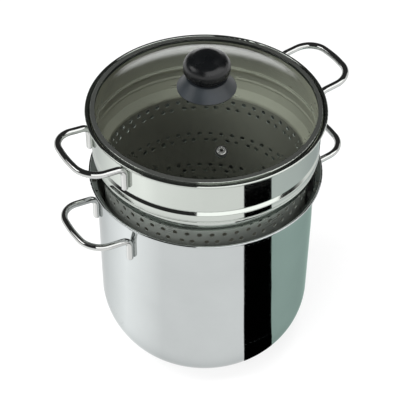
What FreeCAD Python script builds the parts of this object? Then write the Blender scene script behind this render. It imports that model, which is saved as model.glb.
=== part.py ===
import FreeCAD, Part
import math
import os
import re

import Sketcher

# Pasta pot with a lift-out strainer insert and a glass lid. Millimetres, +Z up, origin at the middle
# of the standing face. The handles lie on the X axis.

V = FreeCAD.Vector
UP = V(0, 0, 1)

# A value that starts with an equals sign is worked out from the sizes above it.
SIZES = {
    # pot
    "pot_inner_radius": 110,
    "pot_wall": 0.8,
    "pot_height": 222,
    "pot_corner_radius": 75,
    "pot_heel_radius": 16,
    "corner_land": 0.5,
    "pot_flare_height": 8.5,
    "pot_flare_round": 4,
    "pot_bead_radius": 1.3,
    "bottom_land": 1.5,
    # heat base
    "heat_disc_inset": 36,
    "heat_disc_radius": "=pot_inner_radius - heat_disc_inset",
    "heat_disc_thickness": 4.5,
    "heat_disc_edge_round": 1.5,
    "base_cap_sheet": 0.5,
    # strainer basket
    "basket_gap": 7,
    "basket_sheet": 0.7,
    "insert_rise": 77,
    "basket_height": "=pot_height + insert_rise - base_cap_sheet - heat_disc_thickness - pot_wall",
    "foot_ring_inset": 56,
    "foot_ring_radius": "=pot_inner_radius - foot_ring_inset",
    "foot_ring_width": 8,
    "foot_ring_run": 5,
    "foot_ring_round": 2.5,
    "collar_step": 3,
    "collar_radius": "=pot_inner_radius + collar_step",
    # the mouths of the pot and of the basket are equally wide, so that one lid fits both
    "rim_overhang": 5,
    "rim_radius": "=collar_radius + rim_overhang",
    "collar_height": 36.2,
    "collar_flare_height": 6,
    "collar_flare_round": 3,
    "collar_bead_radius": 1.6,
    "groove_depth": 2.8,
    "groove_height": 5.4,
    "groove_ledge": 0.9,
    "groove_round": 1.1,
    "ridge_round": 1.5,
    "upper_ridge_height": 6.6,
    "crease_depth": 1.6,
    "crease_run": 1.4,
    "lower_ridge_inset": 0.6,
    "lower_ridge_height": 9.5,
    "lower_ridge_taper": 2.6,
    "lower_ridge_round": 2,
    "shoulder_height": 6.5,
    "shoulder_round": 3,
    # perforation
    "hole_radius": 2.35,
    "hole_row_pitch": 9,
    "hole_band_pitch": 45,
    "hole_shoulder_gap": 8.7,
    "hole_edge": 5,
    "holes_per_row": 54,
    "hole_pair_angle": 5.6,
    "hole_start_angle": 1.8,
    "floor_hole_pitch": 12.5,
    # wire handles
    "wire_radius": 3.4,
    "handle_half_width": 34.9,
    "handle_overhang": 31.8,
    "handle_reach": "=rim_radius + handle_overhang",
    "handle_bow": 3,
    "handle_bow_round": 110,
    "handle_corner_round": 22,
    "handle_bend_round": 8,
    "handle_foot_drop": 26,
    "handle_rise_angle": 6.8,
    "weld_flat": 0.5,
    # the share of the wire's radius by which its cut ends are rounded
    "wire_end_share": 0.75,
    "pot_handle_drop": 22,
    "strainer_handle_drop": 5.2,
    # the most of a straight run that a rounding at its end may take
    "bend_run_share": 0.36,
    "corner_run_share": 0.62,
    "bow_run_share": 0.36,
    # lid glass and its ring
    "lid_ring_inset": 5.1,
    "lid_ring_radius": "=rim_radius - lid_ring_inset",
    "lid_ring_sheet": 0.5,
    "lid_ring_round": 1,
    "lid_ring_flange": 4.5,
    "lid_seat_gap": 0.3,
    "edge_seal": 0.5,
    "glass_thickness": 4,
    "glass_brim_width": 8,
    "glass_brim_round": 10,
    "dome_edge_angle": 25,
    "dome_flat_radius": 6,
    # the share of the straight slope at the dome's edge that the rounding of the crown takes
    "dome_run_share": 0.86,
    "dome_width": "=lid_ring_radius - lid_ring_sheet - edge_seal - glass_brim_width - dome_flat_radius",
    "dome_run": "=dome_width * dome_run_share / (cos(dome_edge_angle * 1deg) + dome_run_share)",
    "dome_radius": "=dome_run / tan(dome_edge_angle / 2 * 1deg)",
    # steam vent
    "vent_inset": 31.9,
    "vent_radius": "=lid_ring_radius - vent_inset",
    "vent_angle": -112,
    "vent_hole_radius": 4,
    "vent_bore_radius": 1.6,
    "vent_tube_radius": 2.8,
    "vent_flange_radius": 4.4,
    "vent_flange_thickness": 1.2,
    "vent_flange_round": 0.8,
    "vent_clinch_radius": 4,
    "vent_clinch_thickness": 0.7,
    "vent_grommet_radius": 5.6,
    "vent_grommet_thickness": 1,
    "vent_washer_radius": 5.4,
    "vent_washer_thickness": 0.8,
    "vent_seat_gap": 0.12,
    # knob
    "skirt_radius": 29.6,
    "skirt_height": 12.5,
    "skirt_top_radius": 19.5,
    "skirt_top_round": 1.5,
    "skirt_rim_land": 1.8,
    "skirt_rim_round": 0.7,
    "skirt_plate": 3,
    "skirt_hollow_radius": 14.5,
    "skirt_boss_radius": 6,
    "skirt_glass_gap": 0.3,
    "upper_seal_thickness": 1,
    "neck_radius": 17,
    "neck_height": 3.8,
    "neck_round": 1.4,
    "grip_radius": 22.7,
    "grip_under_rise": 1.4,
    "grip_under_round": 4.5,
    "grip_height": 26.5,
    "grip_shoulder_drop": 8,
    "grip_shoulder_round": 11,
    "grip_crown_radius": 9,
    "grip_crown_round": 16,
    "nut_radius": 4.5,
    "nut_length": 14,
    "screw_radius": 2.45,
    "screw_engagement": 10,
    "screw_head_radius": 5,
    "screw_head_height": 3,
    "screw_head_round": 1.4,
    "screw_slot_width": 1.2,
    "screw_slot_depth": 1.4,
    "screw_clearance": 0.3,
    "thread_clearance": 0.05,
    "washer_radius": 9,
    "washer_thickness": 1,
    "grommet_radius": 9,
    "grommet_flange": 1.5,
    "grommet_seat_gap": 0.1,
    "knob_hole_radius": 4.5,
    # one overrun for every cut
    "overrun": 2,
}

doc = FreeCAD.newDocument("PastaPot")
sheet = doc.addObject("Spreadsheet::Sheet", "Sizes")
for row, (alias, amount) in enumerate(SIZES.items(), 1):
    sheet.set("A%d" % row, alias)
    sheet.set("B%d" % row, str(amount))
    sheet.setAlias("B%d" % row, alias)
    doc.recompute()

ALIASES = re.compile(r"\b(%s)\b" % "|".join(SIZES))
parts = []

# Places worked out from the sizes above, written as formulas of the sheet's names.
# A drawn bottom turns through a heel arc and a wider corner arc that meet on a 45 degree line.
HALF_TURN = "tan(22.5deg)"
POT_RADIUS = "(pot_inner_radius + pot_wall)"
FLOOR_Z = "(base_cap_sheet + heat_disc_thickness)"
CORNER_RUN = "(((pot_corner_radius + pot_heel_radius) * %s + corner_land) * sin(45deg))" % HALF_TURN
BASKET_Z = "(%s + pot_wall)" % FLOOR_Z
MOUTH_Z = "(%s + basket_height)" % BASKET_Z
FLARE_LEAN = "((rim_radius - collar_bead_radius - collar_radius) / (collar_flare_height - collar_bead_radius))"
FLARE_SLANT = "sqrt(1 + %s ^ 2)" % FLARE_LEAN
RING_SEAT = "(basket_sheet + lid_ring_round + lid_seat_gap)"
RING_RISE = "((lid_ring_radius - lid_ring_round - collar_radius + %s * %s) / %s - lid_ring_round)" % (
    RING_SEAT, FLARE_SLANT, FLARE_LEAN)
RING_Z = "(%s - collar_flare_height + %s)" % (MOUTH_Z, RING_RISE)
GLASS_Z = "(%s + lid_ring_sheet + edge_seal)" % RING_Z
GLASS_EDGE = "(lid_ring_radius - lid_ring_sheet - edge_seal)"
BRIM_START = "(%s - glass_brim_width)" % GLASS_EDGE
HALF_EDGE = "tan(dome_edge_angle / 2 * 1deg)"
DOME_KNEE = "(dome_flat_radius + dome_radius * %s)" % HALF_EDGE
DOME_RISE = "((%s - %s) * tan(dome_edge_angle * 1deg))" % (BRIM_START, DOME_KNEE)
CROWN_Z = "(%s + glass_thickness + %s)" % (GLASS_Z, DOME_RISE)
SKIRT_DROP = "(dome_radius - sqrt(dome_radius ^ 2 - (skirt_radius - dome_flat_radius) ^ 2) - skirt_glass_gap)"
SKIRT_Z = "(%s - %s)" % (CROWN_Z, SKIRT_DROP)
GRIP_Z = "(%s + skirt_height)" % SKIRT_Z
SCREW_HOLE = "(screw_radius + screw_clearance)"
GROMMET_TOP = "(grommet_flange + grommet_seat_gap + glass_thickness)"
HEAD_Z = "(%s - %s - washer_thickness - screw_head_height)" % (CROWN_Z, GROMMET_TOP)


def cells(text):
    """The formula with each name pointed at its cell in the sheet."""
    return ALIASES.sub(r"Sizes.\1", text)


def number(text):
    result = sheet.evalExpression(cells(text))
    return float(getattr(result, "Value", result))


def bind(target, **formulas):
    for name, text in formulas.items():
        target.setExpression(name, cells(text))


def raise_to(target, text):
    target.setExpression("Placement.Base.z", cells(text))


def new_body(label):
    body = doc.addObject("PartDesign::Body", label)
    body.Label = label
    return body


def keep(piece):
    parts.append(piece)
    return piece


def new_sketch(body, name, role):
    sketch = body.newObject("Sketcher::SketchObject", name)
    origin_plane = [item for item in body.Origin.OriginFeatures if item.Role == role][0]
    sketch.AttachmentSupport = [(origin_plane, "")]
    sketch.MapMode = "FlatFace"
    return sketch


def tie(sketch, constraint, text):
    index = sketch.addConstraint(constraint)
    sketch.setExpression("Constraints[%d]" % index, cells(text))


def pin(sketch, item, end, across, along):
    """Fix one point of a sketch by its distances from the axes."""
    for kind, axis, text in (("DistanceX", -2, across), ("DistanceY", -1, along)):
        if text == "0":
            sketch.addConstraint(Sketcher.Constraint("PointOnObject", item, end, axis))
        else:
            tie(sketch, Sketcher.Constraint(kind, -1, 1, item, end, number(text)), text)


def corner_arc(before, spot, after, radius):
    """Where an arc of this radius leaves and rejoins the two straight runs of a corner, and its centre."""
    back = (before - spot).normalize()
    ahead = (after - spot).normalize()
    half = back.getAngle(ahead) / 2
    reach = radius / math.tan(half)
    middle = (back + ahead).normalize()
    return spot + back * reach, spot + ahead * reach, spot + middle * (radius / math.sin(half))


def outline(body, name, corners):
    """Closed outline of straight runs in the XZ plane: each corner is (radius, height) or adds a rounding."""
    sketch = new_sketch(body, name, "XZ_Plane")
    count = len(corners)
    spots = [V(number(corner[0]), number(corner[1]), 0) for corner in corners]
    starts = list(spots)
    ends = list(spots)
    centres = {}
    for i, corner in enumerate(corners):
        if len(corner) > 2:
            ends[i], starts[i], centres[i] = corner_arc(
                spots[i - 1], spots[i], spots[(i + 1) % count], number(corner[2]))
    lines = [sketch.addGeometry(Part.LineSegment(starts[i], ends[(i + 1) % count])) for i in range(count)]
    for i, corner in enumerate(corners):
        before = lines[i - 1]
        after = lines[i]
        if i not in centres:
            sketch.addConstraint(Sketcher.Constraint("Coincident", before, 2, after, 1))
            pin(sketch, after, 1, corner[0], corner[1])
            continue
        centre = centres[i]
        left_turn = (spots[i] - spots[i - 1]).cross(spots[(i + 1) % count] - spots[i]).z > 0
        first, last = (ends[i], starts[i]) if left_turn else (starts[i], ends[i])
        entry, leave = (1, 2) if left_turn else (2, 1)
        angles = [math.atan2(spot.y - centre.y, spot.x - centre.x) for spot in (first, last)]
        circle = Part.Circle(centre, UP, number(corner[2]))
        arc = sketch.addGeometry(Part.ArcOfCircle(circle, *angles))
        vertex = sketch.addGeometry(Part.Point(spots[i]), True)
        sketch.addConstraint(Sketcher.Constraint("Tangent", before, 2, arc, entry))
        sketch.addConstraint(Sketcher.Constraint("Tangent", arc, leave, after, 1))
        sketch.addConstraint(Sketcher.Constraint("PointOnObject", vertex, 1, before))
        sketch.addConstraint(Sketcher.Constraint("PointOnObject", vertex, 1, after))
        tie(sketch, Sketcher.Constraint("Radius", arc, number(corner[2])), corner[2])
        pin(sketch, vertex, 1, corner[0], corner[1])
    return sketch


def spin(body, sketch, name):
    turn = body.newObject("PartDesign::Revolution", name)
    turn.Profile = sketch
    turn.ReferenceAxis = (sketch, ["V_Axis"])
    turn.Angle = 360
    return turn


def turned(label, corners, height):
    """A piece turned about the Z axis, standing at this height."""
    body = new_body(label)
    spin(body, outline(body, label + "_outline", corners), label + "_turn")
    raise_to(body, height)
    return body


def hollow(body, solid, name, sheet_text):
    """Open the top of a turned solid and leave a wall of even thickness."""
    doc.recompute()
    faces = solid.Shape.Faces
    top = max(range(len(faces)), key=lambda i: faces[i].CenterOfMass.z)
    wall = body.newObject("PartDesign::Thickness", name)
    wall.Base = (solid, ["Face%d" % (top + 1)])
    wall.Mode = "Skin"
    wall.Join = "Arc"
    bind(wall, Value=sheet_text)
    return wall


def bead(body, name, centre_radius, centre_height, radius):
    """Rolled edge of a sheet-metal mouth."""
    sketch = new_sketch(body, name + "_section", "XZ_Plane")
    centre = V(number(centre_radius), number(centre_height), 0)
    ring = sketch.addGeometry(Part.Circle(centre, UP, number(radius)))
    pin(sketch, ring, 3, centre_radius, centre_height)
    tie(sketch, Sketcher.Constraint("Radius", ring, number(radius)), radius)
    return spin(body, sketch, name)


def band(label, whole, low, high):
    """The part of a turned shell that lies between two heights."""
    slab = doc.addObject("Part::Cylinder", label + "_slab")
    bind(slab, Radius="rim_radius + overrun", Height="%s - (%s)" % (high, low))
    raise_to(slab, low)
    piece = doc.addObject("Part::Common", label)
    piece.Base = whole
    piece.Tool = slab
    return piece


# Pot: deep-drawn shell with a rounded bottom and a flared, beaded mouth, in three bands: bottom, wall and rim.
# Its local zero is the underside of the drawn floor.
pot = new_body("drawn_pot")
POT_MOUTH = "(pot_height - %s)" % FLOOR_Z
POT_LIP = "(rim_radius - pot_bead_radius)"
pot_solid = spin(pot, outline(pot, "pot_outline", [
    ("0", "0"),
    ("%s - %s" % (POT_RADIUS, CORNER_RUN), "0", "pot_heel_radius"),
    (POT_RADIUS, CORNER_RUN, "pot_corner_radius"),
    (POT_RADIUS, "%s - pot_flare_height" % POT_MOUTH, "pot_flare_round"),
    (POT_LIP, "%s - pot_bead_radius" % POT_MOUTH),
    ("0", "%s - pot_bead_radius" % POT_MOUTH),
]), "pot_drawn")
hollow(pot, pot_solid, "pot_sheet", "pot_wall")
bead(pot, "pot_bead", POT_LIP, "%s - pot_bead_radius" % POT_MOUTH, "pot_bead_radius")
CORNER_TOP = "(%s + pot_corner_radius * %s + bottom_land)" % (CORNER_RUN, HALF_TURN)
POT_NECK = "(%s - pot_flare_height - pot_flare_round)" % POT_MOUTH
for pot_band in (
        band("pot_bottom", pot, "-overrun", CORNER_TOP),
        band("pot_shell", pot, CORNER_TOP, POT_NECK),
        band("pot_rim", pot, POT_NECK, "(%s + overrun)" % POT_MOUTH)):
    raise_to(keep(pot_band), FLOOR_Z)

# Heat base: an aluminium disc under the floor, closed in by a thin steel cap.
disc = keep(turned("base_heat_disc", [
    ("0", "0"),
    ("heat_disc_radius", "0", "heat_disc_edge_round"),
    ("heat_disc_radius", "heat_disc_thickness"),
    ("0", "heat_disc_thickness"),
], "base_cap_sheet"))
cap = keep(turned("base_cap", [
    ("0", "0"),
    ("heat_disc_radius + base_cap_sheet", "0", "heat_disc_edge_round + base_cap_sheet"),
    ("heat_disc_radius + base_cap_sheet", FLOOR_Z),
    ("heat_disc_radius", FLOOR_Z),
    ("heat_disc_radius", "base_cap_sheet", "heat_disc_edge_round"),
    ("0", "base_cap_sheet"),
], "0"))

# Strainer basket: a drawn cup that stands on a pressed ring on the pot's floor. Its bottom follows the
# pot's curve at an even gap. The shoulder carries two ridges below the plain collar. It is in three bands:
# collar, punched wall and punched floor.
BASKET_INSET = "(pot_wall + basket_gap)"
BASKET_RADIUS = "(pot_inner_radius - basket_gap)"
BASKET_LIP = "(rim_radius - collar_bead_radius)"
GROOVE_TOP = "(basket_height - collar_height)"
GROOVE_LOW = "(%s - groove_height)" % GROOVE_TOP
RIDGE_LOW = "(%s - upper_ridge_height)" % GROOVE_LOW
CREASE = "(%s - crease_run)" % RIDGE_LOW
LOWER_RIDGE = "(%s - crease_run)" % CREASE
LOWER_RADIUS = "(collar_radius - lower_ridge_inset)"
SHOULDER_TOP = "(%s - lower_ridge_height)" % LOWER_RIDGE
SHOULDER_LOW = "(%s - shoulder_height)" % SHOULDER_TOP
blank = new_body("basket_blank")
blank_solid = spin(blank, outline(blank, "basket_outline", [
    ("0", "basket_gap"),
    ("foot_ring_radius - foot_ring_width / 2 - foot_ring_run", "basket_gap", "foot_ring_round"),
    ("foot_ring_radius - foot_ring_width / 2", "0", "foot_ring_round"),
    ("foot_ring_radius + foot_ring_width / 2", "0", "foot_ring_round"),
    ("foot_ring_radius + foot_ring_width / 2 + foot_ring_run", "basket_gap", "foot_ring_round"),
    ("%s - %s - %s * %s" % (POT_RADIUS, CORNER_RUN, BASKET_INSET, HALF_TURN), "basket_gap",
     "pot_heel_radius - %s" % BASKET_INSET),
    (BASKET_RADIUS, "%s - pot_wall + %s * %s" % (CORNER_RUN, BASKET_INSET, HALF_TURN),
     "pot_corner_radius - %s" % BASKET_INSET),
    (BASKET_RADIUS, SHOULDER_LOW, "shoulder_round"),
    ("%s - lower_ridge_taper" % LOWER_RADIUS, SHOULDER_TOP, "lower_ridge_round"),
    (LOWER_RADIUS, LOWER_RIDGE, "ridge_round"),
    ("collar_radius - crease_depth", CREASE, "groove_round"),
    ("collar_radius", RIDGE_LOW, "ridge_round"),
    ("collar_radius", GROOVE_LOW, "ridge_round"),
    ("collar_radius - groove_depth", "%s - groove_ledge" % GROOVE_TOP, "groove_round"),
    ("collar_radius", GROOVE_TOP, "ridge_round"),
    ("collar_radius", "basket_height - collar_flare_height", "collar_flare_round"),
    (BASKET_LIP, "basket_height - collar_bead_radius"),
    ("0", "basket_height - collar_bead_radius"),
]), "basket_drawn")
hollow(blank, blank_solid, "basket_wall", "basket_sheet")
bead(blank, "collar_bead", BASKET_LIP, "basket_height - collar_bead_radius", "collar_bead_radius")
BASKET_CORNER_TOP = "(%s - pot_wall)" % CORNER_TOP
BASKET_NECK = "(%s - shoulder_round)" % SHOULDER_LOW
collar = keep(band("strainer_collar", blank, BASKET_NECK, "(basket_height + overrun)"))
wall_blank = band("wall_blank", blank, BASKET_CORNER_TOP, BASKET_NECK)
floor_blank = band("floor_blank", blank, "-overrun", BASKET_CORNER_TOP)
raise_to(collar, BASKET_Z)
doc.recompute()


def wall_punches():
    """Radial punches in bands of two rows: an evenly spaced row, then a row in close pairs below it."""
    per_row = int(number("holes_per_row"))
    step = 360 / per_row
    lean = (step - number("hole_pair_angle")) / 2
    first = number("hole_start_angle")
    radius = number("hole_radius")
    inside = number("%s - basket_sheet - overrun" % BASKET_RADIUS)
    length = number("basket_sheet + overrun * 2")
    lowest = number("%s + hole_edge" % BASKET_CORNER_TOP)
    upper = number("%s - hole_shoulder_gap" % SHOULDER_LOW)
    lower = upper - number("hole_row_pitch")
    punches = []
    while lower > lowest:
        for i in range(per_row):
            even = first + i * step
            paired = even + step / 2 + (lean if i % 2 else -lean)
            for angle, height in ((even, upper), (paired, lower)):
                aim = V(math.cos(math.radians(angle)), math.sin(math.radians(angle)), 0)
                punches.append(Part.makeCylinder(radius, length, aim * inside + UP * height, aim))
        upper -= number("hole_band_pitch")
        lower -= number("hole_band_pitch")
    return punches


def floor_punches():
    """Upright punches on rings across the floor, clear of the standing ring and of the drawn corner."""
    pitch = number("floor_hole_pitch")
    radius = number("hole_radius")
    ring = number("foot_ring_radius")
    ring_clear = number("foot_ring_width / 2 + foot_ring_run + hole_edge")
    flat = number("%s - %s - pot_heel_radius * %s - hole_edge" % (POT_RADIUS, CORNER_RUN, HALF_TURN))
    base = number("basket_gap - overrun")
    length = number("basket_sheet + overrun * 2")
    punches = [Part.makeCylinder(radius, length, UP * base, UP)]
    away = pitch
    while away < flat:
        around = round(2 * math.pi * away / pitch)
        for i in range(around if abs(away - ring) > ring_clear else 0):
            angle = 2 * math.pi * i / around
            spot = V(away * math.cos(angle), away * math.sin(angle), base)
            punches.append(Part.makeCylinder(radius, length, spot, UP))
        away += pitch
    return punches


basket = keep(doc.addObject("Part::Feature", "strainer_basket"))
basket.Shape = wall_blank.Shape.cut(wall_punches())
raise_to(basket, BASKET_Z)
basket_floor = keep(doc.addObject("Part::Feature", "strainer_floor"))
basket_floor.Shape = floor_blank.Shape.cut(floor_punches())
raise_to(basket_floor, BASKET_Z)


def wire_handle(label, wall_text, height_text, turn):
    """Bent wire loop. Each end turns down and is flattened against the wall that it is welded to."""
    half = number("handle_half_width")
    foot = number("sqrt((%s + wire_radius - weld_flat) ^ 2 - handle_half_width ^ 2)" % wall_text)
    lean = number("tan(handle_rise_angle * 1deg)")
    reach = number("handle_reach")
    bow = number("handle_reach + handle_bow")
    drop = number("-handle_foot_drop")
    side = [
        (V(foot, half, drop), "weld"),
        (V(foot, half, 0), "bend"),
        (V(reach, half, (reach - foot) * lean), "corner"),
    ]
    other = [(V(spot.x, -spot.y, spot.z), kind) for spot, kind in reversed(side)]
    route = side + [(V(bow, 0, (bow - foot) * lean), "bow")] + other
    edges = []
    last = route[0][0]
    for i in range(1, len(route) - 1):
        spot, kind = route[i]
        before = route[i - 1][0]
        after = route[i + 1][0]
        half_turn = (before - spot).getAngle(after - spot) / 2
        room = min((before - spot).Length, (after - spot).Length) * number(kind + "_run_share")
        radius = min(number("handle_%s_round" % kind), room * math.tan(half_turn))
        enter, leave, centre = corner_arc(before, spot, after, radius)
        middle = centre + (spot - centre).normalize() * radius
        edges.append(Part.LineSegment(last, enter).toShape())
        edges.append(Part.Arc(enter, middle, leave).toShape())
        last = leave
    edges.append(Part.LineSegment(last, route[-1][0]).toShape())
    line = doc.addObject("Part::Feature", label + "_line")
    line.Shape = Part.Wire(edges)
    section = doc.addObject("Part::Circle", label + "_section")
    bind(section, Radius="wire_radius")
    section.Placement.Base = route[0][0]
    wire = doc.addObject("Part::Sweep", label + "_wire")
    wire.Sections = [section]
    wire.Spine = (line, ["Edge%d" % (i + 1) for i in range(len(edges))])
    wire.Solid = True
    wire.Frenet = False
    doc.recompute()
    cut_ends = [edge for face in wire.Shape.Faces if isinstance(face.Surface, Part.Plane) for edge in face.Edges]
    end_round = number("wire_radius * wire_end_share")
    ends = doc.addObject("Part::Fillet", label + "_ends")
    ends.Base = wire
    ends.Edges = [
        (i + 1, end_round, end_round) for i, edge in enumerate(wire.Shape.Edges)
        if any(edge.isSame(end) for end in cut_ends)]
    wall = doc.addObject("Part::Cylinder", label + "_wall")
    bind(wall, Radius=wall_text, Height="handle_foot_drop + handle_bend_round + overrun")
    raise_to(wall, "-handle_foot_drop - overrun")
    handle = keep(doc.addObject("Part::Cut", label))
    handle.Base = ends
    handle.Tool = wall
    handle.Placement.Rotation = FreeCAD.Rotation(UP, turn)
    raise_to(handle, height_text)


for side_name, side_turn in (("right", 0), ("left", 180)):
    wire_handle("pot_handle_" + side_name, POT_RADIUS, "pot_height - pot_handle_drop", side_turn)
    wire_handle(
        "strainer_handle_" + side_name, "collar_radius", "%s - strainer_handle_drop" % MOUTH_Z, side_turn)

# Lid glass: a low dome that flattens into a brim. Its local zero is the underside of the brim.
SHELL_SHIFT = "glass_thickness * %s" % HALF_EDGE
dome = new_body("glass_dome")
spin(dome, outline(dome, "dome_outline", [
    ("knob_hole_radius", DOME_RISE),
    ("%s - %s" % (DOME_KNEE, SHELL_SHIFT), DOME_RISE, "dome_radius - glass_thickness"),
    ("%s - %s" % (BRIM_START, SHELL_SHIFT), "0", "glass_brim_round + glass_thickness"),
    (GLASS_EDGE, "0"),
    (GLASS_EDGE, "glass_thickness"),
    (BRIM_START, "glass_thickness", "glass_brim_round"),
    (DOME_KNEE, "%s + glass_thickness" % DOME_RISE, "dome_radius"),
    ("knob_hole_radius", "%s + glass_thickness" % DOME_RISE),
]), "dome_turn")

# Frame of the vent on the dome: the point on the outer face and the direction square to the glass.
vent_lean = math.asin(number("(vent_radius - dome_flat_radius) / dome_radius"))
vent_turn = math.radians(number("vent_angle"))
vent_aim = V(
    math.sin(vent_lean) * math.cos(vent_turn),
    math.sin(vent_lean) * math.sin(vent_turn),
    math.cos(vent_lean))
vent_spot = V(
    number("vent_radius") * math.cos(vent_turn),
    number("vent_radius") * math.sin(vent_turn),
    number("%s + glass_thickness - dome_radius" % DOME_RISE) + number("dome_radius") * math.cos(vent_lean))


def on_vent(depth_text):
    """Placement on the vent's axis, this far below the outer face of the glass, in the glass's frame."""
    return FreeCAD.Placement(vent_spot - vent_aim * number(depth_text), FreeCAD.Rotation(UP, vent_aim))


vent_drill = doc.addObject("Part::Cylinder", "vent_drill")
bind(vent_drill, Radius="vent_hole_radius", Height="glass_thickness + overrun * 2")
vent_drill.Placement = on_vent("glass_thickness + overrun")
glass = keep(doc.addObject("Part::Cut", "lid_glass"))
glass.Base = dome
glass.Tool = vent_drill
raise_to(glass, GLASS_Z)

# Ring: steel channel folded round the brim, over a thin seal.
RING_TOP = "(glass_thickness + edge_seal * 2 + lid_ring_sheet * 2)"
FLANGE_END = "(lid_ring_radius - lid_ring_flange)"
keep(turned("lid_ring", [
    (FLANGE_END, "0"),
    ("lid_ring_radius", "0", "lid_ring_round"),
    ("lid_ring_radius", RING_TOP, "lid_ring_round"),
    (FLANGE_END, RING_TOP),
    (FLANGE_END, "%s - lid_ring_sheet" % RING_TOP),
    ("lid_ring_radius - lid_ring_sheet", "%s - lid_ring_sheet" % RING_TOP, "lid_ring_round - lid_ring_sheet"),
    ("lid_ring_radius - lid_ring_sheet", "lid_ring_sheet", "lid_ring_round - lid_ring_sheet"),
    (FLANGE_END, "lid_ring_sheet"),
], RING_Z))
SEAL_TOP = "(glass_thickness + edge_seal * 2)"
SEAL_OUT = "(lid_ring_radius - lid_ring_sheet)"
keep(turned("lid_edge_seal", [
    (FLANGE_END, "0"),
    (SEAL_OUT, "0", "lid_ring_round - lid_ring_sheet"),
    (SEAL_OUT, SEAL_TOP, "lid_ring_round - lid_ring_sheet"),
    (FLANGE_END, SEAL_TOP),
    (FLANGE_END, "%s - edge_seal" % SEAL_TOP),
    (GLASS_EDGE, "%s - edge_seal" % SEAL_TOP),
    (GLASS_EDGE, "edge_seal"),
    (FLANGE_END, "edge_seal"),
], "%s + lid_ring_sheet" % RING_Z))

# Steam vent: a steel eyelet in a rubber grommet, clinched over a washer below the glass.
VENT_SLEEVE = "(glass_thickness + vent_seat_gap * 2)"
VENT_STACK = "(%s - vent_seat_gap + vent_washer_thickness + vent_clinch_thickness)" % VENT_SLEEVE
VENT_SHOULDER = "(vent_clinch_thickness + vent_washer_thickness + %s + vent_grommet_thickness)" % VENT_SLEEVE


def on_dome(body, depth_text):
    placement = on_vent(depth_text)
    placement.Base += UP * number(GLASS_Z)
    body.Placement = placement


def vent_piece(label, corners, depth_text):
    body = keep(new_body(label))
    spin(body, outline(body, label + "_outline", corners), label + "_turn")
    on_dome(body, depth_text)


vent_piece("vent_eyelet", [
    ("vent_bore_radius", "0"),
    ("vent_clinch_radius", "0"),
    ("vent_clinch_radius", "vent_clinch_thickness"),
    ("vent_tube_radius", "vent_clinch_thickness"),
    ("vent_tube_radius", VENT_SHOULDER),
    ("vent_flange_radius", VENT_SHOULDER),
    ("vent_flange_radius", "%s + vent_flange_thickness" % VENT_SHOULDER, "vent_flange_round"),
    ("vent_bore_radius", "%s + vent_flange_thickness" % VENT_SHOULDER),
], VENT_STACK)
vent_piece("vent_grommet", [
    ("vent_tube_radius", "0"),
    ("vent_hole_radius", "0"),
    ("vent_hole_radius", VENT_SLEEVE),
    ("vent_grommet_radius", VENT_SLEEVE),
    ("vent_grommet_radius", "%s + vent_grommet_thickness" % VENT_SLEEVE),
    ("vent_tube_radius", "%s + vent_grommet_thickness" % VENT_SLEEVE),
], "%s - vent_seat_gap" % VENT_SLEEVE)
vent_piece("vent_washer", [
    ("vent_tube_radius", "0"),
    ("vent_washer_radius", "0"),
    ("vent_washer_radius", "vent_washer_thickness"),
    ("vent_tube_radius", "vent_washer_thickness"),
], "%s - vent_seat_gap + vent_washer_thickness" % VENT_SLEEVE)

# Knob: a moulded skirt and grip on the glass, held from below by one screw in a brass insert.
BOSS_Z = "(%s + upper_seal_thickness)" % SKIRT_DROP
keep(turned("knob_skirt", [
    (SCREW_HOLE, BOSS_Z),
    ("skirt_boss_radius", BOSS_Z),
    ("skirt_boss_radius", "skirt_height - skirt_plate"),
    ("skirt_hollow_radius", "skirt_height - skirt_plate"),
    ("skirt_radius - skirt_rim_land", "0"),
    ("skirt_radius", "0", "skirt_rim_round"),
    ("skirt_top_radius", "skirt_height", "skirt_top_round"),
    (SCREW_HOLE, "skirt_height"),
], SKIRT_Z))
keep(turned("knob_upper_seal", [
    (SCREW_HOLE, "0"),
    ("skirt_boss_radius", "0"),
    ("skirt_boss_radius", "upper_seal_thickness"),
    (SCREW_HOLE, "upper_seal_thickness"),
], CROWN_Z))
keep(turned("knob_grip", [
    ("nut_radius", "0"),
    ("neck_radius", "0"),
    ("neck_radius", "neck_height", "neck_round"),
    ("grip_radius", "neck_height + grip_under_rise", "grip_under_round"),
    ("grip_radius", "grip_height - grip_shoulder_drop", "grip_shoulder_round"),
    ("grip_crown_radius", "grip_height", "grip_crown_round"),
    ("0", "grip_height"),
    ("0", "nut_length"),
    ("nut_radius", "nut_length"),
], GRIP_Z))
keep(turned("knob_insert_nut", [
    ("screw_radius + thread_clearance", "0"),
    ("nut_radius", "0"),
    ("nut_radius", "nut_length"),
    ("screw_radius + thread_clearance", "nut_length"),
], GRIP_Z))
keep(turned("knob_grommet", [
    (SCREW_HOLE, "0"),
    ("grommet_radius", "0"),
    ("grommet_radius", "grommet_flange"),
    ("knob_hole_radius", "grommet_flange"),
    ("knob_hole_radius", GROMMET_TOP),
    (SCREW_HOLE, GROMMET_TOP),
], "%s - %s" % (CROWN_Z, GROMMET_TOP)))
keep(turned("knob_washer", [
    (SCREW_HOLE, "0"),
    ("washer_radius", "0"),
    ("washer_radius", "washer_thickness"),
    (SCREW_HOLE, "washer_thickness"),
], "%s - %s - washer_thickness" % (CROWN_Z, GROMMET_TOP)))
screw = keep(turned("knob_screw", [
    ("0", "0"),
    ("screw_head_radius", "0", "screw_head_round"),
    ("screw_head_radius", "screw_head_height"),
    ("screw_radius", "screw_head_height"),
    ("screw_radius", "%s - %s + screw_engagement" % (GRIP_Z, HEAD_Z)),
    ("0", "%s - %s + screw_engagement" % (GRIP_Z, HEAD_Z)),
], HEAD_Z))
doc.recompute()
slot_sketch = new_sketch(screw, "slot_outline", "XY_Plane")
slot_half = (number("screw_head_radius + overrun"), number("screw_slot_width / 2"))
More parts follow.
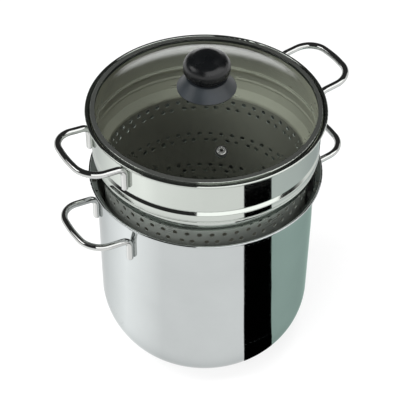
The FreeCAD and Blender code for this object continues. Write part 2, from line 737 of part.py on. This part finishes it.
slot_spots = [V(x * slot_half[0], y * slot_half[1], 0) for x, y in ((-1, -1), (1, -1), (1, 1), (-1, 1))]
slot_lines = [
    slot_sketch.addGeometry(Part.LineSegment(slot_spots[i], slot_spots[(i + 1) % 4])) for i in range(4)]
for i in range(4):
    slot_sketch.addConstraint(Sketcher.Constraint("Coincident", slot_lines[i - 1], 2, slot_lines[i], 1))
for i, kind in enumerate(("Horizontal", "Vertical", "Horizontal", "Vertical")):
    slot_sketch.addConstraint(Sketcher.Constraint(kind, slot_lines[i]))
pin(slot_sketch, slot_lines[2], 1, "screw_head_radius + overrun", "screw_slot_width / 2")
pin(slot_sketch, slot_lines[0], 1, "-screw_head_radius - overrun", "-screw_slot_width / 2")
slot = screw.newObject("PartDesign::Pocket", "screw_slot")
slot.Profile = slot_sketch
slot.Reversed = True
bind(slot, Length="screw_slot_depth")
doc.recompute()

for item in doc.Objects:
    if "Invalid" in item.State or "Error" in item.State:
        raise RuntimeError("%s failed: %s" % (item.Label, item.State))
for piece in parts:
    if piece.Shape.isNull() or not piece.Shape.isValid():
        raise RuntimeError("%s has no valid shape" % piece.Label)

os.makedirs("parts", exist_ok=True)
for piece in parts:
    piece.Shape.exportStep("parts/%s.step" % piece.Label)
    box = piece.Shape.BoundBox
    print("%-24s volume %10.1f  x %7.2f %7.2f  y %7.2f %7.2f  z %7.2f %7.2f  solids %d" % (
        piece.Label, piece.Shape.Volume, box.XMin, box.XMax, box.YMin, box.YMax, box.ZMin, box.ZMax,
        len(piece.Shape.Solids)))
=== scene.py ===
import math

import bpy
from mathutils import Matrix, Vector

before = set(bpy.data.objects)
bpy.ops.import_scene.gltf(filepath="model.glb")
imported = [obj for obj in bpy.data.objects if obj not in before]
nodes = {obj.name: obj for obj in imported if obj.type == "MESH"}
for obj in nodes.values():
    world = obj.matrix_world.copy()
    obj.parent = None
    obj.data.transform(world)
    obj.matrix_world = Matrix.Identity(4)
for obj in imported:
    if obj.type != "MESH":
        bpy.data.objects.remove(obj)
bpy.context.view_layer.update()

# Pot: one cup drawn deep from stainless sheet, with a rounded bottom and a flared mouth whose edge is rolled
# into a bead. The outside is buffed on a wheel until it mirrors the room, while the inside keeps the satin
# finish of the rolled sheet.


def linear(text):
    """sRGB hex colour as the linear values that shaders take."""
    parts = [int(text[i:i + 2], 16) / 255 for i in (1, 3, 5)]
    return [c / 12.92 if c <= 0.04045 else ((c + 0.055) / 1.055) ** 2.4 for c in parts] + [1]


def add(tree, kind, inputs=None, **settings):
    """One node with its settings, and its inputs as values or as sockets to link from."""
    node = tree.nodes.new(kind)
    for name, value in settings.items():
        setattr(node, name, value)
    for name, value in (inputs or {}).items():
        if isinstance(value, bpy.types.NodeSocket):
            tree.links.new(value, node.inputs[name])
        else:
            node.inputs[name].default_value = value
    return node


def start_finish(name):
    """An empty material: its node tree, and the output that a shader goes to."""
    finish = bpy.data.materials.new(name)
    finish.use_nodes = True
    tree = finish.node_tree
    tree.nodes.clear()
    return finish, tree, tree.nodes.new("ShaderNodeOutputMaterial").inputs["Surface"]


def dress(finish, *names):
    """Gives the pieces one finish, in place of the one that they came with."""
    for name in names:
        nodes[name].data.materials.clear()
        nodes[name].data.materials.append(finish)


# Buffed stainless steel is a mirror, with rings left by the wheel that only soften the reflections a little,
# and broad faint smudges from handling. The rings are drawn a few millimetres apart so that they can show.
def buffed_stainless(name, colour, roughness, ring_mm, metallic=1, inside=None):
    """Turned or buffed metal. Inside gives the walls that look towards the Z axis a satin finish and a colour
    of their own, which on the collar and the basket is painted reflection and painted shade; its top is the
    height where they end below a buffed rim."""
    streaks_per_m = 9
    rings_per_m = 1000 / ring_mm
    smudges_per_m = 22
    ring_depth = 0.0002
    finish, tree, surface = start_finish(name)
    place = add(tree, "ShaderNodeTexCoord")
    rings = add(tree, "ShaderNodeMapping", {
        "Vector": place.outputs["Object"], "Scale": (streaks_per_m, streaks_per_m, rings_per_m)})
    lines = add(tree, "ShaderNodeTexNoise", {"Vector": rings.outputs["Vector"], "Scale": 1, "Detail": 3})
    smudge = add(tree, "ShaderNodeTexNoise", {
        "Vector": place.outputs["Object"], "Scale": smudges_per_m, "Detail": 4})
    uneven = add(tree, "ShaderNodeMapRange", {
        "Value": lines.outputs["Fac"], "From Min": 0.3, "From Max": 0.7, "To Min": 0.85, "To Max": 1.2})
    hazy = add(tree, "ShaderNodeMapRange", {
        "Value": smudge.outputs["Fac"], "From Min": 0.35, "From Max": 0.7, "To Min": 0.9, "To Max": 1.25})
    haze = add(tree, "ShaderNodeMath", {0: uneven.outputs["Result"], 1: hazy.outputs["Result"]},
               operation="MULTIPLY")
    shade = add(tree, "ShaderNodeMapRange", {
        "Value": smudge.outputs["Fac"], "From Min": 0.35, "From Max": 0.7, "To Min": 1.01, "To Max": 0.97})
    relief = add(tree, "ShaderNodeBump", {
        "Height": lines.outputs["Fac"], "Strength": 0.006, "Distance": ring_depth})
    tone = linear(colour)[:3]
    if inside:
        side_on, turned_in = -0.15, -0.45
        rim_blend = 0.001
        flat = add(tree, "ShaderNodeVectorMath", {0: place.outputs["Object"], 1: (1, 1, 0)},
                   operation="MULTIPLY")
        outward = add(tree, "ShaderNodeVectorMath", {0: flat.outputs["Vector"]}, operation="NORMALIZE")
        facing = add(tree, "ShaderNodeVectorMath", {0: outward.outputs["Vector"], 1: place.outputs["Normal"]},
                     operation="DOT_PRODUCT")
        inward = add(tree, "ShaderNodeMapRange", {
            "Value": facing.outputs["Value"], "From Min": side_on, "From Max": turned_in})
        height = add(tree, "ShaderNodeSeparateXYZ", {0: place.outputs["Object"]})
        below = add(tree, "ShaderNodeMapRange", {
            "Value": height.outputs["Z"], "From Min": inside["top"], "From Max": inside["top"] - rim_blend})
        inner_satin_and_shade = add(tree, "ShaderNodeMath", {0: inward.outputs["Result"], 1: below.outputs["Result"]},
                    operation="MULTIPLY").outputs[0]
        # On the collar and the basket the inside colour is painted light: a painted reflection on the collar,
        # painted shade in the basket.
        tone = add(tree, "ShaderNodeMix", {0: inner_satin_and_shade, 6: linear(colour), 7: linear(inside["colour"])},
                   data_type="RGBA").outputs[2]
        roughness = add(tree, "ShaderNodeMix", {0: inner_satin_and_shade, 2: roughness, 3: inside["roughness"]}).outputs[0]
        metallic = add(tree, "ShaderNodeMix", {0: inner_satin_and_shade, 2: metallic, 3: inside["metallic"]}).outputs[0]
    stained = add(tree, "ShaderNodeVectorMath", {0: tone, "Scale": shade.outputs["Result"]},
                  operation="SCALE")
    gloss = add(tree, "ShaderNodeMath", {0: roughness, 1: haze.outputs[0]}, operation="MULTIPLY")
    steel = add(tree, "ShaderNodeBsdfPrincipled", {
        "Base Color": stained.outputs["Vector"], "Metallic": metallic, "Roughness": gloss.outputs[0],
        "Specular Tint": linear("#D6D8D8"), "Normal": relief.outputs["Normal"]})
    tree.links.new(steel.outputs["BSDF"], surface)
    return finish


pot_satin = {"colour": "#C2C2BE", "roughness": 0.3, "metallic": 0.55, "top": 0.2135}
dress(buffed_stainless("buffed_stainless_pot", "#C5C9C9", roughness=0.05, ring_mm=3, inside=pot_satin),
      "pot_shell", "pot_bottom", "pot_rim")

# Heat base: an aluminium disc pressed against the floor, closed in by a thin stainless cap. The cap is the
# face that stands on the hob, turned smooth with fine concentric lines.
dress(buffed_stainless("milled_aluminium", "#C9CACB", roughness=0.3, ring_mm=2), "base_heat_disc")
dress(buffed_stainless("turned_stainless_cap", "#BDBDBA", roughness=0.22, ring_mm=2), "base_cap")

# Handles: loops of polished stainless wire, bent cold, with both feet turned down and welded to the wall.
# Drawing and polishing leave faint streaks on the wire.
dress(buffed_stainless("polished_stainless_wire", "#CFD0CE", roughness=0.07, ring_mm=4),
      "pot_handle_left", "pot_handle_right", "strainer_handle_left", "strainer_handle_right")

# Strainer collar: the plain upper band of the drawn basket, with pressed ridges that stiffen it above the
# pot's mouth. The outside is buffed like the pot, and the inside is left satin. The inside's warm brown-grey
# colour is a painted reflection of brown contents.
collar_satin_and_painted_reflection = {"colour": "#C2BDB1", "roughness": 0.32, "metallic": 0.62, "top": 0.2935}
dress(buffed_stainless("buffed_stainless_collar_painted_reflection", "#C7CCC6", roughness=0.06, ring_mm=3, inside=collar_satin_and_painted_reflection),
      "strainer_collar")

# Strainer wall and floor: the lower part of the same drawn sheet, punched with rows of round holes. It isn't
# buffed, so it keeps the satin finish of the sheet, which is duller inside. Its darker, warmer colour inside
# is painted shade.
basket_satin_and_painted_shade = {"colour": "#96928A", "roughness": 0.38, "metallic": 0.6, "top": 0.3}
dress(buffed_stainless("satin_stainless_basket_painted_shade", "#A6ABA5", roughness=0.32, ring_mm=3, metallic=0.65,
                       inside=basket_satin_and_painted_shade),
      "strainer_basket", "strainer_floor")

# Lid glass: tempered soda-lime glass, pressed into a low dome with a flat brim. Lamps shine through it, and
# patches of wiped-off water leave a film that is too thin to blur what lies below.
wipes_per_m = 35
glass, glass_tree, glass_out = start_finish("tempered_glass")
glass_place = add(glass_tree, "ShaderNodeTexCoord")
wiped = add(glass_tree, "ShaderNodeTexNoise", {
    "Vector": glass_place.outputs["Object"], "Scale": wipes_per_m, "Detail": 3})
film = add(glass_tree, "ShaderNodeMapRange", {
    "Value": wiped.outputs["Fac"], "From Min": 0.5, "From Max": 0.8, "To Min": 0, "To Max": 0.02})
clear = add(glass_tree, "ShaderNodeBsdfPrincipled", {
    "Base Color": linear("#F4F8F5"), "Roughness": film.outputs["Result"], "IOR": 1.5,
    "Transmission Weight": 1})
lamp_light = add(glass_tree, "ShaderNodeBsdfTransparent", {"Color": linear("#F0F5F2")})
glass_ray = add(glass_tree, "ShaderNodeLightPath")
pane = add(glass_tree, "ShaderNodeMixShader", {
    0: glass_ray.outputs["Is Shadow Ray"], 1: clear.outputs["BSDF"], 2: lamp_light.outputs["BSDF"]})
glass_tree.links.new(pane.outputs["Shader"], glass_out)
dress(glass, "lid_glass")

# Lid ring: a channel of thin stainless strip, folded over the brim of the glass and polished. A thin rubber
# seal inside it holds the glass without play, and the knob's seals are of the same rubber.
dress(buffed_stainless("folded_stainless_ring", "#B4B8B2", roughness=0.1, ring_mm=4, metallic=0.95),
      "lid_ring")


def moulded(name, colour, worn, roughness, grain_mm, grain):
    """Moulded plastic or rubber with the faint skin that the mould leaves, paler and duller where worn."""
    rubs_per_m = 70
    skin_depth = 0.0003
    finish, tree, surface = start_finish(name)
    place = add(tree, "ShaderNodeTexCoord")
    skin = add(tree, "ShaderNodeTexNoise", {
        "Vector": place.outputs["Object"], "Scale": 1000 / grain_mm, "Detail": 2})
    rubbed = add(tree, "ShaderNodeTexNoise", {
        "Vector": place.outputs["Object"], "Scale": rubs_per_m, "Detail": 4})
    patch = add(tree, "ShaderNodeMapRange", {
        "Value": rubbed.outputs["Fac"], "From Min": 0.4, "From Max": 0.75})
    tone = add(tree, "ShaderNodeMix", {0: patch.outputs["Result"], 6: linear(colour), 7: linear(worn)},
               data_type="RGBA")
    dull = add(tree, "ShaderNodeMapRange", {
        "Value": patch.outputs["Result"], "To Min": roughness * 0.9, "To Max": roughness * 1.2})
    relief = add(tree, "ShaderNodeBump", {
        "Height": skin.outputs["Fac"], "Strength": grain, "Distance": skin_depth})
    body = add(tree, "ShaderNodeBsdfPrincipled", {
        "Base Color": tone.outputs[2], "Roughness": dull.outputs["Result"],
        "Normal": relief.outputs["Normal"]})
    tree.links.new(body.outputs["BSDF"], surface)
    return finish


dress(moulded("moulded_rubber", "#1C1D1C", "#242524", roughness=0.6, grain_mm=0.8, grain=0.1),
      "lid_edge_seal", "knob_grommet", "knob_upper_seal")

# Steam vent: a flanged eyelet pressed from stainless tube and clinched over a washer below the glass. It sits
# in a rubber grommet, so that the metal doesn't strain the glass.
dress(buffed_stainless("pressed_stainless_vent", "#B9BBB7", roughness=0.2, ring_mm=1, metallic=0.9),
      "vent_eyelet", "vent_washer")
dress(moulded("vent_rubber", "#121312", "#191A19", roughness=0.5, grain_mm=0.6, grain=0.1), "vent_grommet")

# Knob: a satin black phenolic grip on a slate plastic skirt, both moulded. One screw from below the glass,
# in a brass insert, holds them to the lid.
dress(moulded("black_phenolic", "#060708", "#090A0B", roughness=0.28, grain_mm=2.5, grain=0.02), "knob_grip")
dress(moulded("satin_slate_plastic", "#1B1F22", "#22262A", roughness=0.4, grain_mm=1.2, grain=0.05),
      "knob_skirt")
dress(buffed_stainless("turned_brass", "#C9A75A", roughness=0.25, ring_mm=1), "knob_insert_nut")
dress(buffed_stainless("plated_screw_steel", "#BFC0C0", roughness=0.25, ring_mm=1), "knob_screw", "knob_washer")

# Camera: the photograph's view, found by fitting both rims, the walls and the handles. It looks at the pot's
# mouth and is then turned a little about its own axes. Its lens is in picture points.
mouth_height = 0.222
camera_distance = 1.2783
camera_rise = math.radians(41.339)
camera_turn = math.radians(-32.12)
pan, nod, roll = (math.radians(angle) for angle in (0.2345, -1.5965, 0.7545))
lens_px = 1265.5
picture_px = 400
view = (Matrix.Rotation(camera_turn, 4, "Z") @ Matrix.Rotation(math.pi / 2 - camera_rise, 4, "X")
        @ Matrix.Rotation(pan, 4, "Y") @ Matrix.Rotation(nod, 4, "X") @ Matrix.Rotation(roll, 4, "Z"))
from_mouth = Vector((0, -math.cos(camera_rise), math.sin(camera_rise))) * camera_distance
stand = Matrix.Rotation(camera_turn, 4, "Z") @ from_mouth
camera_data = bpy.data.cameras.new("photo_camera")
camera_data.lens = camera_data.sensor_width * lens_px / picture_px
camera = bpy.data.objects.new("photo_camera", camera_data)
bpy.context.scene.collection.objects.link(camera)
camera.matrix_world = Matrix.Translation(stand + Vector((0, 0, mouth_height))) @ view
bpy.context.scene.camera = camera
bpy.context.scene.view_settings.view_transform = "Standard"

# Studio floor: matt white, and white again to the camera and in every mirror or glass, so that it runs into
# the backdrop. Near the pot a part of it stays plain paint to the camera, which keeps the soft shadow.
floor_size = 40
floor_drop = 0.0006
shadow_radius, plain_radius = 0.3, 1.2
shadow_white = 0.8
floor_finish, floor_tree, floor_out = start_finish("matt_white_floor")
paint = add(floor_tree, "ShaderNodeBsdfDiffuse", {"Color": linear("#F2F2F2")})
backdrop = add(floor_tree, "ShaderNodeEmission", {"Color": linear("#FFFFFF"), "Strength": 1})
floor_place = add(floor_tree, "ShaderNodeTexCoord")
away = add(floor_tree, "ShaderNodeVectorMath", {0: floor_place.outputs["Object"]}, operation="LENGTH")
whiter = add(floor_tree, "ShaderNodeMapRange", {
    "Value": away.outputs["Value"], "From Min": shadow_radius, "From Max": plain_radius,
    "To Min": shadow_white, "To Max": 1})
floor_ray = add(floor_tree, "ShaderNodeLightPath")
direct = add(floor_tree, "ShaderNodeMath", {
    0: floor_ray.outputs["Is Camera Ray"], 1: whiter.outputs["Result"]}, operation="MULTIPLY")
mirrored = add(floor_tree, "ShaderNodeMath", {
    0: direct.outputs[0], 1: floor_ray.outputs["Is Glossy Ray"]}, operation="MAXIMUM")
share = add(floor_tree, "ShaderNodeMath", {
    0: mirrored.outputs[0], 1: floor_ray.outputs["Is Transmission Ray"]}, operation="MAXIMUM")
floor_mix = add(floor_tree, "ShaderNodeMixShader", {
    0: share.outputs[0], 1: paint.outputs[0], 2: backdrop.outputs[0]})
floor_tree.links.new(floor_mix.outputs[0], floor_out)
bpy.ops.object.select_all(action="DESELECT")
bpy.ops.mesh.primitive_plane_add(size=floor_size, location=(0, 0, -floor_drop))
floor = bpy.context.object
floor.name = "studio_floor"
floor.data.materials.append(floor_finish)

# Cards on the floor shape what the polished walls mirror: a black stripe on the right, grey green beyond it,
# and a brighter patch on the left. Only mirrors see them. Each edge is where the eye's rays land after they
# leave the wall along one upright column of the picture.
eye = camera.matrix_world.translation
to_eye = math.atan2(eye.y, eye.x)
card_height = 0.0004
collar_radius = 0.113
wall_radius = 0.1108
corner_radius = 0.075
corner_height = 0.0631
collar_spots = [(collar_radius, z, 0) for z in (0.301, 0.255)]
body_spots = [(wall_radius, z, 0) for z in (0.235, 0.213, 0.14, corner_height)]
for tilt in [math.radians(degrees) for degrees in range(8, 64, 8)]:
    body_spots.append((wall_radius - corner_radius * (1 - math.cos(tilt)),
                       corner_height - corner_radius * math.sin(tilt), tilt))


def card_edge(column, spots):
    """Floor points that the eye sees in the wall along one picture column. A spot is the wall's radius, its
    height, and how far it leans towards the floor."""
    across = view.to_3x3() @ Vector((1, 0, (column - picture_px / 2) / lens_px))
    points = []
    for radius, height, tilt in spots:
        reach = across.dot(eye - Vector((0, 0, height))) / (radius * across.xy.length)
        turn = math.atan2(across.y, across.x) - math.acos(max(-1, min(1, reach)))
        spot = Vector((radius * math.cos(turn), radius * math.sin(turn), height))
        out = Vector((math.cos(turn) * math.cos(tilt), math.sin(turn) * math.cos(tilt), -math.sin(tilt)))
        ray = (spot - eye).normalized().reflect(out)
        points.append(spot + ray * ((height - card_height) / -ray.z))
    return points


def mirrors_only(card):
    """Stage card that shows in mirrors, and neither lights the object nor is seen."""
    card.visible_camera = False
    card.visible_diffuse = False
    card.visible_shadow = False
    card.visible_transmission = False


def floor_card(name, colour, spots, *stops, fade=0):
    """A card between picture columns, each stop a column and the strength of the light there. Fade is the
    length over which the last edge runs out to the floor's white."""
    columns_per_step = 4
    finish, tree, surface = start_finish(name)
    level = add(tree, "ShaderNodeAttribute", attribute_name="strength")
    light = add(tree, "ShaderNodeEmission", {"Color": linear(colour), "Strength": level.outputs["Fac"]})
    tree.links.new(light.outputs["Emission"], surface)
    columns = []
    for (start, low), (end, high) in zip(stops, stops[1:]):
        steps = max(1, round(abs(end - start) / columns_per_step))
        columns += [(start + (end - start) * i / steps, low + (high - low) * i / steps) for i in range(steps)]
    columns.append(stops[-1])
    edges = [card_edge(column, spots) for column, _ in columns]
    levels = [level for _, level in columns]
    if fade:
        edges.append([last + (last - before).normalized() * fade
                      for before, last in zip(edges[-3], edges[-1])])
        levels.append(3 / sum(linear(colour)[:3]))
    count = len(spots)
    faces = [(i * count + j, i * count + j + 1, (i + 1) * count + j + 1, (i + 1) * count + j)
             for i in range(len(edges) - 1) for j in range(count - 1)]
    mesh = bpy.data.meshes.new(name)
    mesh.from_pydata([point for edge in edges for point in edge], [], faces)
    strength = mesh.attributes.new("strength", "FLOAT", "POINT")
    strength.data.foreach_set("value", [level for level in levels for _ in spots])
    card = bpy.data.objects.new(name, mesh)
    bpy.context.scene.collection.objects.link(card)
    card.data.materials.append(finish)
    mirrors_only(card)
    return card


stripe_left, stripe_right = 244, 271.7
black_card = floor_card("black_card", "#050807", collar_spots + body_spots,
                        (stripe_left, 0.1), (stripe_right, 0.1))
black_card.location.z = card_height / 4
floor_card("grey_card", "#A9BFB7", body_spots, (stripe_right, 1.04), (312, 1.18))
floor_card("collar_grey_card", "#D3DADA", collar_spots, (stripe_right, 1), (300, 1), (330, 0.9), fade=0.2)
floor_card("bright_card", "#FFFFFF", body_spots, (162, 1), (141, 1.23), (126, 1.42), (110, 1.25), (100, 1))
floor_card("collar_bright_card", "#FFFFFF", collar_spots,
           (205, 1), (158, 1.15), (143, 1.33), (120, 1.3), (96, 1))

# Soft boxes that only mirrors see draw the bright lines along the wires, beads and ridges: one far to the
# eye's left, and two to its right.
collar_height = 0.25


def soft_box(name, strength, sides, rises):
    """A part of a sphere round the collar, between two angles to the eye's right and two height angles."""
    box_distance = 1.6
    steps = 8
    finish, tree, surface = start_finish(name)
    light = add(tree, "ShaderNodeEmission", {"Color": linear("#FFFFFF"), "Strength": strength})
    tree.links.new(light.outputs["Emission"], surface)
    turns = [to_eye + math.radians(sides[0] + (sides[1] - sides[0]) * i / steps) for i in range(steps + 1)]
    levels = [math.radians(rises[0] + (rises[1] - rises[0]) * i / steps) for i in range(steps + 1)]
    points = [(box_distance * math.cos(turn) * math.cos(rise), box_distance * math.sin(turn) * math.cos(rise),
               collar_height + box_distance * math.sin(rise)) for turn in turns for rise in levels]
    row = steps + 1
    faces = [(i * row + j, (i + 1) * row + j, (i + 1) * row + j + 1, i * row + j + 1)
             for i in range(steps) for j in range(steps)]
    mesh = bpy.data.meshes.new(name)
    mesh.from_pydata(points, [], faces)
    card = bpy.data.objects.new(name, mesh)
    bpy.context.scene.collection.objects.link(card)
    card.data.materials.append(finish)
    mirrors_only(card)


soft_box("left_soft_box", strength=2, sides=(-100, -60), rises=(24, 46))
soft_box("right_soft_box", strength=1.6, sides=(-7, 95), rises=(10, 56))
soft_box("low_right_soft_box", strength=1.2, sides=(95, 125), rises=(8, 18))

# Room: white at the horizon like the floor, and dark above, so that the wires and the knob stay dark on top.
# Satin steel and plastic get at least a plain half light from it all round.
ceiling_from = 0.1
ceiling_light = 0.03
half_light = 0.5
world = bpy.data.worlds.new("studio")
bpy.context.scene.world = world
world.use_nodes = True
sky = world.node_tree
sky_place = add(sky, "ShaderNodeTexCoord")
direction = add(sky, "ShaderNodeSeparateXYZ", {0: sky_place.outputs["Generated"]})
ceiling = add(sky, "ShaderNodeMapRange", {
    "Value": direction.outputs["Z"], "From Min": 0, "From Max": ceiling_from,
    "To Min": 1, "To Max": ceiling_light})
sky_ray = add(sky, "ShaderNodeLightPath")
seen = add(sky, "ShaderNodeMath", {0: ceiling.outputs["Result"], 1: sky_ray.outputs["Is Camera Ray"]},
           operation="MAXIMUM")
soft = add(sky, "ShaderNodeMath", {0: sky_ray.outputs["Is Diffuse Ray"], 1: half_light}, operation="MULTIPLY")
total = add(sky, "ShaderNodeMath", {0: seen.outputs[0], 1: soft.outputs[0]}, operation="MAXIMUM")
sky.links.new(total.outputs[0], sky.nodes["Background"].inputs["Strength"])
sky.nodes["Background"].inputs["Color"].default_value = linear("#FFFFFF")


# Lamps: square and oblong area lamps that light the plastic, the satin steel and the floor. They don't show
# in the mirrors or through the glass.
def soft_lamp(name, side, rise, distance, width, depth, watts):
    """Area lamp aimed at the collar, by its angle in degrees to the eye's right and its height angle."""
    turn = to_eye + math.radians(side)
    lift = math.radians(rise)
    outward = Vector((math.cos(turn) * math.cos(lift), math.sin(turn) * math.cos(lift), math.sin(lift)))
    lamp = bpy.data.lights.new(name, "AREA")
    lamp.shape = "RECTANGLE"
    lamp.size = width
    lamp.size_y = depth
    lamp.energy = watts
    holder = bpy.data.objects.new(name, lamp)
    spot = Matrix.Translation(outward * distance + Vector((0, 0, collar_height)))
    holder.matrix_world = spot @ outward.to_track_quat("Z", "Y").to_matrix().to_4x4()
    holder.visible_glossy = False
    holder.visible_transmission = False
    bpy.context.scene.collection.objects.link(holder)


soft_lamp("key_lamp", side=-75, rise=50, distance=1.6, width=0.9, depth=0.9, watts=30)
soft_lamp("top_lamp", side=10, rise=80, distance=1.6, width=0.7, depth=0.7, watts=20)
soft_lamp("fill_lamp", side=95, rise=40, distance=1.8, width=0.8, depth=0.8, watts=9)
soft_lamp("front_lamp", side=-30, rise=28, distance=1.6, width=0.8, depth=0.5, watts=14)
